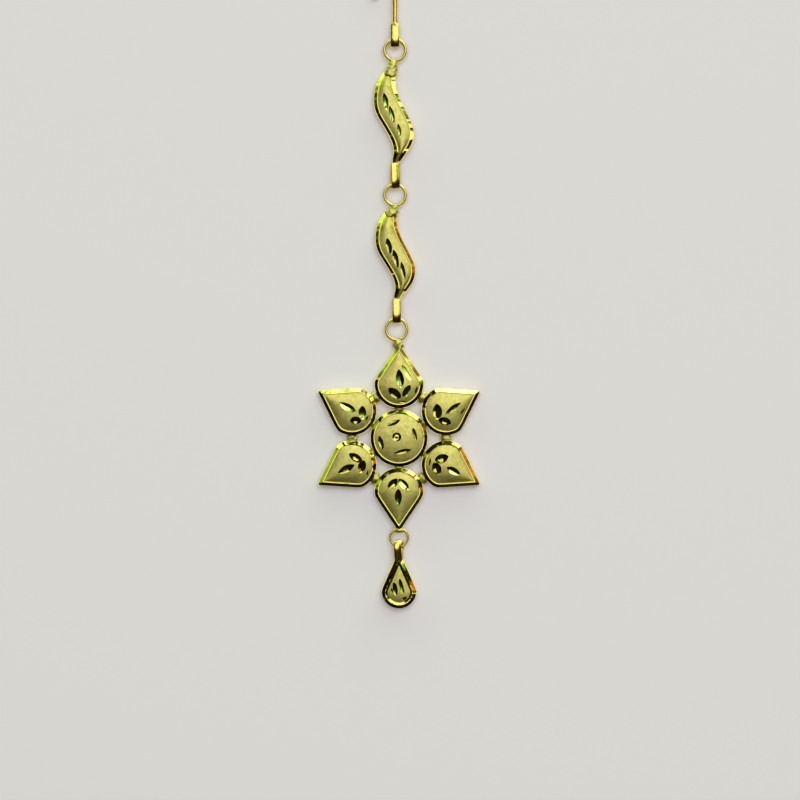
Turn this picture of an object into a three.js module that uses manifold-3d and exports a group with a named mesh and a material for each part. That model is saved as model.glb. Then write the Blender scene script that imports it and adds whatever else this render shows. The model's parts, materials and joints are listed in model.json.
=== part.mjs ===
// A maang tikka, lying face up: a hair hook, two wave-shaped links, a star pendant of six petals
// round a disc, and a small drop. Millimetres, +Z up. X runs across the jewel, Y along it with the
// hook at +Y, and the flat backs lie on z = 0. The origin is at the middle of the whole, on its back.
import * as THREE from "three";
import { mergeVertices } from "three/addons/utils/BufferGeometryUtils.js";
import Module from "manifold-3d";

const wasm = await Module();
wasm.setup();

// Driving dimensions

// The rim that every plate has, from its outer foot inwards
const flangeWidth = 0.1;
const flangeThickness = 0.3;
const wallHeight = 0.92;
const bevelWidth = 0.4;
const rimHeight = 1.25;
const crestWidth = 0.08;
const grooveWidth = 0.1;
const grooveDepth = 0.16;

// The satin face inside the rim rises this far above the floor of the groove, steeply at first
const domeRise = 0.32;
const linkDomeRise = 0.2;
const domeFullness = 0.8;
const domeShares = [0.25, 0.65];
const linkDomeShares = [0.35, 1];

// Star pendant
const petalCount = 6;
const petalRadius = 3.1;
const petalReach = 4.8;
const petalTipWidth = 0.3;
const petalShoulder = THREE.MathUtils.degToRad(8.6);
const petalRingRadius = 6.8;
const discRadius = 3.6;
const discBallRadius = 0.28;
const discDimpleRadius = 0.5;

// Solder between the pieces of the star, with how far its beads bite into the pieces they join
const solderHeight = 0.45;
const petalSolderBite = 0.25;
const petalSolderShift = 0.21;
const discSolderBite = 0.45;

// Drop
const dropRadius = 2.2;
const dropReach = 4;
const dropTipWidth = 1;
const dropShoulder = THREE.MathUtils.degToRad(4);
const dropSlopeWidth = 0.42;

// Wave links, from the star upwards
const linkWidth = 5;
const linkEndTaper = 0.4;
const rimShareAtTips = 0.8;
const lowerLink = {
  name: "lower_wave_link",
  length: 11.4,
  neck: 0.35,
  bailReach: 2.24,
  twist: 4,
  ringShift: -0.19,
};
const upperLink = {
  name: "upper_wave_link",
  length: 11.9,
  neck: 1,
  bailReach: 2.41,
  twist: 14,
  ringShift: 0,
};

// Jump rings and the solder that holds them
const wireLevel = 0.76;
const ringRadius = 1.32;
const ringWire = 0.2;
const dropRingRadius = 1.12;
const dropRingWire = 0.16;
const neckWidth = 1.15;
const neckThickness = 0.6;
const starRingShift = -0.31;
const starNeck = 0.47;
const solderOverlap = 0.25;

// Bails, bent from flat strip
const stripWidth = 1.04;
const stripThickness = 0.22;
const bailClearance = 0.2;
const bailNarrowHeight = 0.7;
const dropBailReach = 1.56;
const dropBailSlack = 0.3;
const dropBailTwist = 14;
const dropStripWidth = 0.8;
const hookBailReach = 1.94;
const hookBailSlack = 0.44;

// Hair hook
const hookWire = 0.32;
const hookShank = 5.6;
const hookBend = 1.25;
const hookReturn = 1.9;
const hookTipRadius = 0.37;

// Fineness of the round shapes
const roundSteps = 14;
const discSteps = 24;
const wireSides = 6;
const ringSides = 16;
const stripSteps = 7;
const hookSteps = 22;
const beadSides = 10;

// Where the wave's edges lie at each station: along counts from the bottom tip as a share of the
// link's length, left and right are shares of its width
const waveStations = [
  { along: 0, left: 0.48, right: 0.57 },
  { along: 0.06, left: 0.465, right: 0.7 },
  { along: 0.13, left: 0.495, right: 0.82 },
  { along: 0.21, left: 0.475, right: 0.94 },
  { along: 0.3, left: 0.39, right: 1 },
  { along: 0.39, left: 0.27, right: 0.985 },
  { along: 0.48, left: 0.14, right: 0.9 },
  { along: 0.56, left: 0.045, right: 0.81 },
  { along: 0.65, left: 0, right: 0.7 },
  { along: 0.74, left: 0.005, right: 0.61 },
  { along: 0.83, left: 0.045, right: 0.55 },
  { along: 0.91, left: 0.125, right: 0.54 },
  { along: 1, left: 0.29, right: 0.56 },
];
const waveTipShare = 0.53;
const waveTopShare = 0.44;

// Diamond cuts in the satin faces. Places and sizes are shares of the face's own radius, measured
// from its middle, and lean is in degrees, positive to the left.
const leafCuts = [
  { x: 0, y: 0.32, length: 0.76, width: 0.3, lean: 0 },
  { x: -0.2, y: -0.34, length: 0.66, width: 0.32, lean: 43 },
  { x: 0.25, y: -0.34, length: 0.66, width: 0.32, lean: -43 },
  { x: 0.02, y: -0.67, length: 0.4, width: 0.08, lean: 90 },
];
const petalExtraCuts = [
  [{ x: 0.31, y: 0.4, length: 0.8, width: 0.16, lean: 32 }],
  [{ x: 0.33, y: 0.56, length: 0.36, width: 0.07, lean: 20 }],
  [],
  [],
  [{ x: -0.58, y: -0.36, length: 0.22, width: 0.08, lean: 30 }],
  [],
];
const discCuts = [
  { x: -0.18, y: 0.53, length: 0.5, width: 0.13, lean: -65 },
  { x: 0.55, y: 0.13, length: 0.47, width: 0.14, lean: 15 },
  { x: 0.13, y: -0.47, length: 0.64, width: 0.14, lean: -76 },
  { x: -0.63, y: -0.16, length: 0.49, width: 0.16, lean: 15 },
];
const discBallPlace = { x: -0.08, y: 0.04 };
const dropCuts = [
  { x: -0.26, y: 0.15, length: 0.74, width: 0.26, lean: 15 },
  { x: 0.09, y: 0.31, length: 0.88, width: 0.2, lean: 15 },
  { x: 0.22, y: -0.42, length: 0.3, width: 0.14, lean: -70 },
];
// Cuts in a wave: along and length are shares of the link's length, across and width of its width
const waveCuts = [
  { along: 0.615, across: 0.32, length: 0.168, width: 0.12, lean: 10 },
  { along: 0.475, across: 0.5, length: 0.19, width: 0.112, lean: 14 },
  { along: 0.33, across: 0.69, length: 0.163, width: 0.084, lean: 10 },
];
const cutDepth = 0.3;
const cutShares = [0, 0.18, 0.5, 0.82, 1];
const cutPoint = 0.04;
const cutClearance = 1;

const satinGold = { color: 0xcdbb5c, roughness: 0.5, metalness: 1 };
const polishedGold = { color: 0xd8b93c, roughness: 0.2, metalness: 1 };

// Solids

// A geometry as a solid, placed by a matrix.
function solidOf(geometry, matrix = new THREE.Matrix4()) {
  const bare = geometry.clone();
  bare.deleteAttribute("normal");
  bare.deleteAttribute("uv");
  bare.applyMatrix4(matrix);
  const merged = mergeVertices(bare, 1e-4);
  return new wasm.Manifold(
    new wasm.Mesh({
      numProp: 3,
      vertProperties: merged.attributes.position.array,
      triVerts: new Uint32Array(merged.index.array),
    }),
  );
}

function joined(solids) {
  return solids.reduce((whole, solid) => whole.add(solid));
}

function meshOf(name, solid, finish) {
  const made = solid.getMesh();
  const geometry = new THREE.BufferGeometry();
  geometry.setAttribute("position", new THREE.BufferAttribute(made.vertProperties, 3));
  geometry.setIndex(new THREE.BufferAttribute(made.triVerts, 1));
  geometry.computeVertexNormals();
  const mesh = new THREE.Mesh(geometry, new THREE.MeshStandardMaterial(finish));
  mesh.name = name;
  return mesh;
}

function placed(x, y, z) {
  return new THREE.Matrix4().makeTranslation(x, y, z);
}

// A closed geometry through rings of points, all with the same number of points, each turning
// anticlockwise as seen from the far end.
function loft(rings) {
  const count = rings[0].length;
  const points = rings.flat();
  const faces = [];
  for (let ring = 0; ring < rings.length - 1; ring++) {
    for (let i = 0; i < count; i++) {
      const a = ring * count + i;
      const b = ring * count + ((i + 1) % count);
      faces.push(a, b, b + count, a, b + count, a + count);
    }
  }
  for (const [ring, first] of [[rings[0], 0], [rings.at(-1), points.length - count]]) {
    const middle = ring.reduce((sum, p) => sum.add(p), new THREE.Vector3()).divideScalar(count);
    points.push(middle);
    for (let i = 0; i < count; i++) {
      const edge = [first + i, first + ((i + 1) % count)];
      faces.push(points.length - 1, ...(first === 0 ? edge.reverse() : edge));
    }
  }
  const geometry = new THREE.BufferGeometry().setFromPoints(points);
  geometry.setIndex(faces);
  return geometry;
}

// Sections of a plate

// The rim from its outer foot to the edge of the face, as steps inwards and up.
function rimSteps(slopeWidth = grooveWidth) {
  const bevelEnd = flangeWidth + bevelWidth;
  return [
    { inset: 0, height: 0 },
    { inset: 0, height: flangeThickness },
    { inset: flangeWidth, height: flangeThickness },
    { inset: flangeWidth, height: wallHeight },
    { inset: bevelEnd, height: rimHeight },
    { inset: bevelEnd + crestWidth, height: rimHeight },
    { inset: bevelEnd + crestWidth + slopeWidth, height: rimHeight - grooveDepth },
  ];
}

// How far the domed face has risen at a share of the way from the groove to its middle.
function domeHeight(share) {
  return domeRise * Math.sin((share * Math.PI) / 2) ** domeFullness;
}

function plateSteps(radius, slopeWidth) {
  const rim = rimSteps(slopeWidth);
  const edge = rim.at(-1);
  const face = domeShares.map((share) => ({
    inset: edge.inset + (radius - edge.inset) * share,
    height: edge.height + domeHeight(share),
  }));
  return [...rim, ...face];
}

// One ring of a teardrop drawn in by inset: a blunt tip, straight sides and a round end.
function teardropRing({ radius, reach, tipWidth, shoulder }, inset, height) {
  const tip = new THREE.Vector2(tipWidth / 2, reach);
  const corner = new THREE.Vector2(Math.cos(shoulder), Math.sin(shoulder)).multiplyScalar(radius);
  const along = corner.sub(tip).normalize();
  const outward = new THREE.Vector2(-along.y, along.x);
  const sideDistance = tip.dot(outward) - inset;
  const endRadius = radius - inset;
  const start = outward.angle() - Math.acos(Math.min(1, sideDistance / endRadius));
  const narrowest = 0.02;
  let tipY = reach - inset;
  let tipX = (sideDistance - tipY * outward.y) / outward.x;
  if (tipX < narrowest) {
    tipX = narrowest;
    tipY = (sideDistance - tipX * outward.x) / outward.y;
  }
  const ring = [new THREE.Vector3(-tipX, tipY, height)];
  for (let i = 0; i <= roundSteps; i++) {
    const angle = Math.PI - start + ((Math.PI + 2 * start) * i) / roundSteps;
    ring.push(new THREE.Vector3(endRadius * Math.cos(angle), endRadius * Math.sin(angle), height));
  }
  ring.push(new THREE.Vector3(tipX, tipY, height));
  return ring;
}

// One ring of the disc, with a flat rather than a corner towards each side.
function circleRing(radius, height) {
  const ring = [];
  for (let i = 0; i < discSteps; i++) {
    const angle = (2 * Math.PI * (i + 0.5)) / discSteps;
    ring.push(new THREE.Vector3(radius * Math.cos(angle), radius * Math.sin(angle), height));
  }
  return ring;
}

// Diamond cuts

// A lens-shaped cutter with a V-shaped keel, pointed at both ends.
function cutter(length, width, depth) {
  const rings = cutShares.map((share) => {
    const fullness = Math.max(cutPoint, Math.sin(share * Math.PI));
    const half = (width / 2) * fullness;
    const y = (share - 0.5) * length;
    return [
      new THREE.Vector3(-half, y, cutClearance),
      new THREE.Vector3(half, y, cutClearance),
      new THREE.Vector3(half, y, 0),
      new THREE.Vector3(0, y, -depth * fullness),
      new THREE.Vector3(-half, y, 0),
    ];
  });
  return loft(rings);
}

function cutAt(x, y, z, length, width, lean) {
  const depth = Math.min(cutDepth, width / 2);
  const turn = new THREE.Matrix4().makeRotationZ(THREE.MathUtils.degToRad(lean));
  return solidOf(cutter(length, width, depth), placed(x, y, z).multiply(turn));
}

// Cuts listed as shares of a face's radius, each sunk from the height that the dome has there.
function faceCuts(cuts, radius, slopeWidth) {
  const edge = rimSteps(slopeWidth).at(-1);
  return cuts.map(({ x, y, length, width, lean }) => {
    const share = 1 - Math.min(1, (Math.hypot(x, y) * radius) / (radius - edge.inset));
    const surface = edge.height + domeHeight(share);
    return cutAt(x * radius, y * radius, surface, length * radius, width * radius, lean);
  });
}

// Star pendant

const petalShape = {
  radius: petalRadius,
  reach: petalReach,
  tipWidth: petalTipWidth,
  shoulder: petalShoulder,
};
const dropShape = {
  radius: dropRadius,
  reach: dropReach,
  tipWidth: dropTipWidth,
  shoulder: dropShoulder,
};

function petal(number) {
  const steps = plateSteps(petalRadius);
  const plate = solidOf(loft(steps.map((s) => teardropRing(petalShape, s.inset, s.height))));
  const cuts = faceCuts([...leafCuts, ...petalExtraCuts[number % petalExtraCuts.length]], petalRadius);
  const turn = new THREE.Matrix4().makeRotationZ((-2 * Math.PI * number) / petalCount);
  return plate
    .subtract(joined(cuts))
    .transform(turn.multiply(placed(0, petalRingRadius, 0)).elements);
}

function disc() {
  const steps = plateSteps(discRadius);
  const plate = solidOf(loft(steps.map((s) => circleRing(discRadius - s.inset, s.height))));
  const top = steps.at(-1).height;
  const place = placed(discBallPlace.x * discRadius, discBallPlace.y * discRadius, top);
  const dimple = solidOf(new THREE.SphereGeometry(discDimpleRadius, beadSides, 8), place);
  const ball = solidOf(new THREE.SphereGeometry(discBallRadius, beadSides, 8), place);
  const sunk = placed(0, 0, discBallRadius - discDimpleRadius);
  return plate
    .subtract(joined(faceCuts(discCuts, discRadius)))
    .subtract(dimple)
    .add(ball.transform(sunk.elements));
}

// A low bead of solder at a place in the star.
function solderBead(radius, distance, angle) {
  const squash = new THREE.Matrix4().makeScale(radius, radius, solderHeight);
  const place = placed(distance * Math.cos(angle), distance * Math.sin(angle), solderHeight);
  return solidOf(new THREE.SphereGeometry(1, beadSides, 6), place.multiply(squash));
}

function starSolder() {
  const halfTurn = Math.PI / petalCount;
  const petalGap = 2 * (petalRingRadius * Math.sin(halfTurn) - petalRadius);
  const petalJoint = petalRingRadius * Math.cos(halfTurn) + petalSolderShift;
  const discGap = petalRingRadius - petalRadius - discRadius;
  const discJoint = discRadius + discGap / 2;
  const beads = [];
  for (let i = 0; i < petalCount; i++) {
    const angle = Math.PI / 2 + 2 * halfTurn * i;
    beads.push(solderBead(discGap / 2 + discSolderBite, discJoint, angle));
    beads.push(solderBead(petalGap / 2 + petalSolderBite, petalJoint, angle + halfTurn));
  }
  return joined(beads);
}

// Jump rings, necks and bails

function jumpRing(radius, wire, x, y) {
  return solidOf(new THREE.TorusGeometry(radius, wire, wireSides, ringSides), placed(x, y, wireLevel));
}

// A post of solder along Y between two heights on the jewel's length.
function neck(x, from, to) {
  const post = new THREE.CylinderGeometry(0.5, 0.5, Math.abs(to - from), beadSides);
  const size = new THREE.Matrix4().makeScale(neckWidth, 1, neckThickness);
  return solidOf(post, placed(x, (from + to) / 2, wireLevel).multiply(size));
}

// A bail round a ring's wire. Its round end is slack below the wire at (x, y), and it runs by reach
// towards side (+1 is up the jewel, -1 down), where it narrows to its solder.
function bail({ x, y, wire, width, reach, slack, twist, side }) {
  const outer = wire + bailClearance + stripThickness;
  const inner = outer - stripThickness;
  const far = slack + reach;
  const openingEnd = far - 2 * stripThickness;
  const narrow = bailNarrowHeight / 2;
  const outline = new THREE.Shape();
  outline.moveTo(far, narrow);
  outline.lineTo(0, outer);
  outline.absarc(0, 0, outer, Math.PI / 2, (3 * Math.PI) / 2, false);
  outline.lineTo(far, -narrow);
  const opening = new THREE.Path();
  opening.moveTo(openingEnd, narrow - stripThickness);
  opening.lineTo(0, inner);
  opening.absarc(0, 0, inner, Math.PI / 2, (3 * Math.PI) / 2, false);
  opening.lineTo(openingEnd, stripThickness - narrow);
  outline.holes.push(opening);
  const strip = new THREE.ExtrudeGeometry(outline, {
    depth: width,
    bevelEnabled: false,
    curveSegments: stripSteps,
  });
  strip.translate(0, 0, -width / 2);
  const upright = new THREE.Matrix4().makeBasis(
    new THREE.Vector3(0, side, 0),
    new THREE.Vector3(0, 0, 1),
    new THREE.Vector3(side, 0, 0),
  );
  const turn = new THREE.Matrix4().makeRotationY(THREE.MathUtils.degToRad(twist));
  return solidOf(strip, placed(x, y - side * slack, wireLevel).multiply(turn).multiply(upright));
}

// Pieces

function starPendant(ringY, dropRingY) {
  const petals = Array.from({ length: petalCount }, (_, number) => petal(number));
  return joined([
    disc(),
    ...petals,
    starSolder(),
    jumpRing(ringRadius, ringWire, starRingShift, ringY),
    neck(starRingShift / 2, ringY - ringRadius, petalRingRadius + petalReach - solderOverlap),
    jumpRing(dropRingRadius, dropRingWire, 0, dropRingY),
    neck(0, dropRingY + dropRingRadius, solderOverlap - petalRingRadius - petalReach),
  ]);
}

// The cross-section of a wave at one height, from its left foot over the face to its right foot.
function waveSection(left, right, y, fullness) {
  const rim = rimSteps();
  const edge = rim.at(-1);
  const half = (right - left) / 2;
  const squeeze = Math.min(1, (rimShareAtTips * half) / edge.inset);
  const lift = (height) => height * (1 - linkEndTaper * (1 - fullness));
  const face = linkDomeShares.map((share) => ({
    inset: edge.inset * squeeze * (1 - share) + half * share,
    height: edge.height + linkDomeRise * squeeze * Math.sin((share * Math.PI) / 2),
  }));
  const side = [...rim.map((s) => ({ inset: s.inset * squeeze, height: s.height })), ...face];
  const leftSide = side.map((s) => new THREE.Vector3(left + s.inset, y, lift(s.height)));
  const rightSide = side
    .slice(0, -1)
    .reverse()
    .map((s) => new THREE.Vector3(right - s.inset, y, lift(s.height)));
  return [...leftSide, ...rightSide];
}

function wavePlate(length, tipX, tipY) {
  const originX = tipX - waveTipShare * linkWidth;
  const last = waveStations.length - 1;
  const rings = waveStations.map(({ along, left, right }, i) =>
    waveSection(
      originX + left * linkWidth,
      originX + right * linkWidth,
      tipY + along * length,
      Math.min(1, i / 2, (last - i) / 2),
    ),
  );
  const face = rimHeight - grooveDepth + linkDomeRise;
  const cuts = waveCuts.map((cut) =>
    cutAt(
      originX + cut.across * linkWidth,
      tipY + cut.along * length,
      face,
      cut.length * length,
      cut.width * linkWidth,
      cut.lean,
    ),
  );
  return solidOf(loft(rings)).subtract(joined(cuts));
}

// A link whose bail hangs on the wire at (wireX, wireY). Its own ring stands above it.
function waveLink({ length, neck: neckLength, bailReach, twist, ringShift }, wireX, wireY) {
  const tipY = wireY + bailReach;
  const topY = tipY + length;
  const ringX = wireX + ringShift;
  const ringY = topY + neckLength + ringWire + ringRadius;
  const neckX = (ringX + wireX - (waveTipShare - waveTopShare) * linkWidth) / 2;
  const solid = joined([
    wavePlate(length, wireX, tipY),
    neck(neckX, ringY - ringRadius, topY - solderOverlap),
    jumpRing(ringRadius, ringWire, ringX, ringY),
    bail({
      x: wireX,
      y: wireY,
      wire: ringWire,
      width: stripWidth,
      reach: bailReach + solderOverlap,
      slack: 0,
      twist,
      side: 1,
    }),
  ]);
  return { solid, ringX, ringY };
}

function hairHook(wireX, wireY) {
  const startY = wireY + hookBailReach - solderOverlap;
  const bendY = startY + hookShank;
  const points = [
    new THREE.Vector3(wireX, startY, wireLevel),
    new THREE.Vector3(wireX, (startY + bendY) / 2, wireLevel),
  ];
  const bendSteps = 6;
  for (let i = 0; i <= bendSteps; i++) {
    const angle = (Math.PI * i) / bendSteps;
    const x = wireX - hookBend + hookBend * Math.cos(angle);
    points.push(new THREE.Vector3(x, bendY + hookBend * Math.sin(angle), wireLevel));
  }
  const end = new THREE.Vector3(wireX - 2 * hookBend, bendY - hookReturn, wireLevel);
  points.push(end);
  const section = new THREE.Shape().absarc(0, 0, hookWire, 0, 2 * Math.PI, false);
  const wire = new THREE.ExtrudeGeometry(section, {
    extrudePath: new THREE.CatmullRomCurve3(points, false, "centripetal"),
    steps: hookSteps,
    curveSegments: wireSides,
  });
  const tip = new THREE.SphereGeometry(hookTipRadius, beadSides, 6);
  return joined([
    solidOf(wire),
    solidOf(tip, placed(end.x, end.y, end.z)),
    bail({
      x: wireX,
      y: wireY,
      wire: ringWire,
      width: stripWidth,
      reach: hookBailReach,
      slack: hookBailSlack,
      twist: 0,
      side: 1,
    }),
  ]);
}

function drop(wireX, wireY) {
  const middleY = wireY - dropBailReach - dropReach;
  const steps = plateSteps(dropRadius, dropSlopeWidth);
  const plate = loft(steps.map((s) => teardropRing(dropShape, s.inset, s.height)));
  return joined([
    solidOf(plate)
      .subtract(joined(faceCuts(dropCuts, dropRadius, dropSlopeWidth)))
      .translate([wireX, middleY, 0]),
    bail({
      x: wireX,
      y: wireY,
      wire: dropRingWire,
      width: dropStripWidth,
      reach: dropBailReach + solderOverlap,
      slack: dropBailSlack,
      twist: dropBailTwist,
      side: -1,
    }),
  ]);
}

// Assembly, with the star's middle at zero
const starReach = petalRingRadius + petalReach;
const starRingY = starReach + starNeck + ringWire + ringRadius;
const dropRingY = -starReach - dropRingRadius + solderOverlap;
const tikka = new THREE.Group();
tikka.add(meshOf("star_pendant", starPendant(starRingY, dropRingY), satinGold));
tikka.add(meshOf("drop", drop(0, dropRingY - dropRingRadius), satinGold));

let wireX = starRingShift;
let wireY = starRingY + ringRadius;
for (const link of [lowerLink, upperLink]) {
  const { solid, ringX, ringY } = waveLink(link, wireX, wireY);
  tikka.add(meshOf(link.name, solid, satinGold));
  wireX = ringX;
  wireY = ringY + ringRadius;
}
tikka.add(meshOf("hair_hook", hairHook(wireX, wireY), polishedGold));

const bounds = new THREE.Box3().setFromObject(tikka);
const middle = bounds.getCenter(new THREE.Vector3());
tikka.position.set(-middle.x, -middle.y, -bounds.min.z);
const maangTikka = new THREE.Group();
maangTikka.add(tikka);

export default maangTikka;
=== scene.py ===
"""A gold maang tikka lying face up: hair hook, two wave links, six-petal star and drop.

Run as a script in Blender 4.5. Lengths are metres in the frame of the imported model, with +Y up the
jewel towards its hook and +Z out of its face.
"""

import json
import math
import random
from functools import partial

import bmesh
import bpy
from bpy.props import FloatProperty, FloatVectorProperty, IntProperty, PointerProperty
from bpy.types import Operator, Panel, PropertyGroup
from mathutils import Matrix, Vector, noise


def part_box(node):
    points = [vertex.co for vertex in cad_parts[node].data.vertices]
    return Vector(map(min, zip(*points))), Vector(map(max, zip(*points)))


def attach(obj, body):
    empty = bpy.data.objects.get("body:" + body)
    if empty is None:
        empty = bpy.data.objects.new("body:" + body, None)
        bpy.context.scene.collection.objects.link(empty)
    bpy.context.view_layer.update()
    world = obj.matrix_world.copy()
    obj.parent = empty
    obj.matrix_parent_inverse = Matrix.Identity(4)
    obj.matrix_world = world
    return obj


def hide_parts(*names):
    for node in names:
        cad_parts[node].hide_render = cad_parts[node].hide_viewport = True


bl_info = {
    "name": "Maang Tikka",
    "version": (1, 0, 0),
    "blender": (4, 5, 0),
    "location": "View3D > Sidebar > Maang Tikka",
    "description": "Builds a gold forehead jewel of petals, waves, rings and bails",
    "category": "Add Mesh",
}

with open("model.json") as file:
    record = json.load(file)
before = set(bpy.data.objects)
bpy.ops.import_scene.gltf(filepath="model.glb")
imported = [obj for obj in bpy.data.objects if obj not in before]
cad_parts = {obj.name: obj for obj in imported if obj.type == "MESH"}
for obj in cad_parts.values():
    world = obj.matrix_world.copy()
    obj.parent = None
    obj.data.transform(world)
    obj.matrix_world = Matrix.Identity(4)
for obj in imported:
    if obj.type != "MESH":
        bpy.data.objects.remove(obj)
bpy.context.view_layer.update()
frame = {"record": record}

MM = 0.001
UP = Vector((0, 0, 1))

# Material slots on every plate, in this order
SATIN = 0
POLISHED = 1
CUT = 2
DRAWN = 3


def length(name, description, millimetres):
    """A length property, with its default given in millimetres."""
    return FloatProperty(
        name=name,
        description=description,
        default=millimetres * MM,
        precision=5,
        subtype="DISTANCE",
        unit="LENGTH",
    )


def colour(name, description, default):
    return FloatVectorProperty(
        name=name, description=description, default=default, size=3, min=0, max=1, subtype="COLOR"
    )


def angle(name, description, degrees):
    """An angle property, with its default given in degrees."""
    return FloatProperty(
        name=name, description=description, default=math.radians(degrees), subtype="ANGLE"
    )


def share(name, description, default):
    return FloatProperty(
        name=name, description=description, default=default, min=0, max=1, subtype="FACTOR"
    )


def star_middle():
    """The middle of the star, on its back, from the mount that the record keeps there."""
    mounts = {mount["name"]: mount for mount in frame["record"]["mounts"]}
    return Vector(mounts["star_back"]["pos_m"])


# Sizes and finishes that a user would change


class TikkaRimSizes(PropertyGroup):
    """The rim that every plate has, from its outer foot inwards."""

    flange_width: length("Flange width", "Thin back plate that shows outside the wall", 0.04)
    flange_thickness: length("Flange thickness", "Height of that back plate", 0.3)
    wall_height: length("Wall height", "Where the wall meets the bevel", 0.96)
    round_lift: length("Round lift", "How much higher the wall is at a round end", 0.06)
    bevel_width: length("Bevel width", "Diamond-cut slope from the wall up to the crest", 0.4)
    rim_height: length("Rim height", "Height of the crest above the back", 1.25)
    crest_width: length("Crest width", "Narrow bright line along the top of the rim", 0.08)
    groove_width: length("Groove width", "Inner slope from the crest down to the face", 0.06)
    groove_depth: length("Groove depth", "Drop from the crest to the edge of the face", 0.09)
    unevenness: length("Unevenness", "How far a hand-cut facet of the bevel strays", 0.06)
    dome_rise: length("Dome rise", "Rise of a satin face above its edge", 0.27)
    link_dome_rise: length("Link dome rise", "Rise of a wave's satin face", 0.17)


class TikkaStarSizes(PropertyGroup):
    """The petals, disc and solder of the star."""

    petal_count: IntProperty(name="Petals", description="Petals round the disc", default=6, min=3)
    petal_radius: length("Petal radius", "Round end of a petal", 3.1)
    petal_reach: length("Petal reach", "From the middle of the round end to the tip", 4.8)
    petal_tip: length("Petal tip", "Width of the blunt tip", 0.3)
    petal_shoulder: angle("Petal shoulder", "Where a side meets the round end, from level", 8.6)
    petal_ring_radius: length("Petal ring", "From the star's middle to a petal's", 6.8)
    disc_radius: length("Disc radius", "Outer radius of the middle disc", 3.6)
    ball_radius: length("Ball radius", "Small ball in the disc", 0.25)
    dimple_radius: length("Dimple radius", "Bright cup round the ball", 0.58)
    solder_height: length("Solder height", "Middle of the beads between the petals", 0.42)
    disc_bead: length("Disc bead", "Half the width of a bead on the disc", 0.34)
    disc_hold: length("Disc hold", "How far such a bead laps onto disc and petal", 0.55)
    petal_bead: length("Petal bead", "Half the width of a bead between two petals", 0.72)
    petal_hold: length("Petal hold", "How far such a bead laps onto the petals", 0.35)


class TikkaDropSizes(PropertyGroup):
    """The teardrop that hangs below the star."""

    radius: length("Drop radius", "Round end of the drop", 2.2)
    reach: length("Drop reach", "From the middle of the round end to the tip", 4)
    tip: length("Drop tip", "Width of the blunt tip", 1)
    shoulder: angle("Drop shoulder", "Where a side meets the round end, from level", 4)
    slope_width: length("Inner slope", "Bright slope inside the crest", 0.25)


class TikkaLinkSizes(PropertyGroup):
    """The two wave links."""

    width: length("Link width", "Width of a wave plate", 5)
    lower_length: length("Lower length", "Length of the lower wave plate", 11.4)
    upper_length: length("Upper length", "Length of the upper wave plate", 11.9)
    lower_reach: length("Lower bail reach", "From the star's ring to the lower plate", 2.24)
    upper_reach: length("Upper bail reach", "From the lower ring to the upper plate", 2.41)
    upper_lift: length("Upper lift", "How much higher the upper plate's right wall is", 0.19)


class TikkaWireSizes(PropertyGroup):
    """Rings, necks of solder, bails and the hair hook."""

    level: length("Wire level", "Height of the rings' wire above the backs", 0.76)
    ring_radius: length("Ring radius", "Jump ring, to the middle of its wire", 1.32)
    ring_wire: length("Ring wire", "Radius of the jump rings' wire", 0.2)
    drop_ring_radius: length("Drop ring radius", "Small ring below the star", 1.12)
    drop_ring_wire: length("Drop ring wire", "Radius of the small ring's wire", 0.16)
    neck_width: length("Neck width", "Solder between a ring and its plate", 1.35)
    neck_thickness: length("Neck thickness", "Depth of that solder", 0.6)
    neck_lump: length("Neck lump", "Half the length of a lump of that solder", 0.55)
    drop_neck_lump: length("Drop neck lump", "The same where the small ring meets the star", 0.3)
    strip_width: length("Strip width", "Flat strip of the bails", 1.04)
    drop_strip_width: length("Drop strip width", "Narrower strip of the drop's bail", 0.8)
    strip_thickness: length("Strip thickness", "Thickness of the strip", 0.22)
    bail_clearance: length("Bail clearance", "Between a bail's round end and the wire", 0.2)
    bail_narrow: length("Bail's narrow end", "Height of a bail where it is soldered", 0.7)
    bail_overlap: length("Bail overlap", "How far a bail's ends reach onto their plate", 0.25)
    hook_slack: length("Hook slack", "Play of the hook's bail on its ring", 0.44)
    drop_slack: length("Drop slack", "Play of the drop's bail on its ring", 0.3)
    drop_reach: length("Drop bail reach", "From the small ring to the drop's plate", 1.56)
    hook_wire: length("Hook wire", "Radius of the hair hook's wire", 0.32)
    hook_bend: length("Hook bend", "Radius of the hook's bend", 1.25)
    hook_shank: length("Hook shank", "Straight wire from the bail to the bend", 5.6)
    hook_return: length("Hook return", "Straight wire from the bend to the tip", 1.9)
    hook_tip: length("Hook tip", "Ball at the end of the hook", 0.37)
    hook_reach: length("Hook bail reach", "From the upper ring to the hook's solder", 1.94)


class TikkaFinishes(PropertyGroup):
    """Colours and gloss of the gold, and the stage."""

    satin: colour("Satin gold", "Matte face inside the rims", (0.92, 0.79, 0.235))
    satin_roughness: share("Satin roughness", "Roughness of the matte faces", 0.42)
    polished: colour("Polished gold", "Rims of the plates", (0.95, 0.80, 0.22))
    polished_roughness: share("Polished roughness", "Roughness of the rims", 0.08)
    drawn: colour("Drawn gold", "Rings, bails and hook", (0.98, 0.77, 0.21))
    drawn_roughness: share("Drawn roughness", "Roughness of the wire and strip", 0.22)
    cut: colour("Cut gold", "Facets of the diamond cuts", (0.88, 0.85, 0.32))
    cut_roughness: share("Cut roughness", "Roughness of the diamond cuts", 0.08)
    grain: length("Satin grain", "Size of the matte faces' grain", 0.16)
    floor: colour("Floor", "Pale surface that the jewel lies on", (0.90, 0.86, 0.93))


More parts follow.
